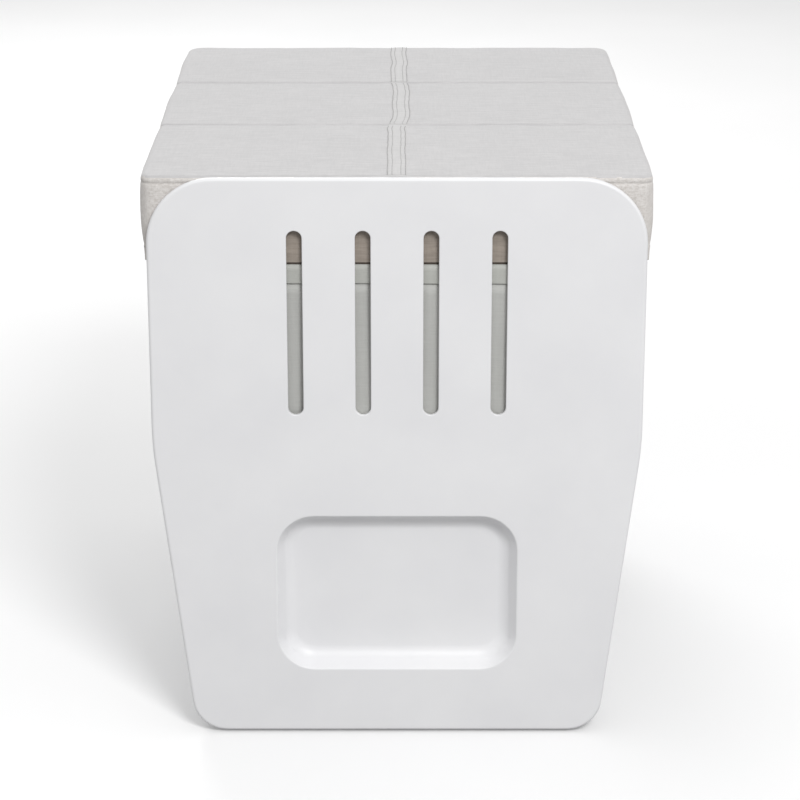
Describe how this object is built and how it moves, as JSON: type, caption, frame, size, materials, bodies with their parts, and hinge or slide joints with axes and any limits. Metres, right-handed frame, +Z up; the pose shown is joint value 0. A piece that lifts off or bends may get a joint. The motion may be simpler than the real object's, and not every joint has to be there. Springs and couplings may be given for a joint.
{
  "type": "cat litter box",
  "caption": "Hooded cat litter box: white tub with flat vented rear plate and hand grip, loose liner, and a folding fabric lid in three boarded panels.",
  "frame": {"origin": "middle of the footprint, on the floor under the pads", "axes": "+Z up; the flat rear plate faces -Y and the entry faces +Y; X across the width"},
  "size_m": [0.406, 0.533, 0.4823],
  "materials": {
    "white_plastic": "satin",
    "pad_rubber": "matte",
    "liner_tarp": "matte coated woven tarpaulin",
    "hem_tarp": "matte coated woven tarpaulin, folded and stitched",
    "snap_plastic": "satin",
    "hook_tape": "hook side of hook-and-loop tape",
    "loop_tape": "loop side of hook-and-loop tape",
    "lid_board": "raw board, sewn into the cover",
    "lid_fabric": "woven linen look",
    "lid_lining": "plain woven lining",
    "seam_fabric": "folded seam with rows of stitches"
  },
  "bodies": {
    "shell": {"tub": "white_plastic", "feet": "pad_rubber", "liner": "liner_tarp", "liner_hem": "hem_tarp", "liner_snap_sockets": "snap_plastic", "liner_snap_studs": "snap_plastic", "hook_strip": "hook_tape"},
    "lid_rear": {"rear_board": "lid_board", "rear_cover": "lid_fabric", "rear_lining": "lid_lining", "rear_side_skirts": "lid_fabric", "rear_skirt": "lid_fabric", "loop_strip": "loop_tape", "rear_centre_seam": "seam_fabric"},
    "lid_middle": {"middle_board": "lid_board", "middle_cover": "lid_fabric", "middle_lining": "lid_lining", "middle_side_skirts": "lid_fabric", "middle_centre_seam": "seam_fabric"},
    "lid_front": {"front_board": "lid_board", "front_cover": "lid_fabric", "front_lining": "lid_lining", "front_side_skirts": "lid_fabric", "front_skirt": "lid_fabric", "front_centre_seam": "seam_fabric"}
  },
  "joints": [
    {"name": "lid_lift", "type": "slide", "parent": "shell", "child": "lid_rear", "axis": [0, 0, 1], "range_m": [0, 0.12]},
    {"name": "middle_fold", "type": "hinge", "parent": "lid_rear", "child": "lid_middle", "pos_m": [0, -0.076, 0.4825], "axis": [1, 0, 0], "range_deg": [0, 95]},
    {"name": "front_fold", "type": "hinge", "parent": "lid_middle", "child": "lid_front", "pos_m": [0, 0.099, 0.4825], "axis": [1, 0, 0], "range_deg": [0, 175]}
  ]
}
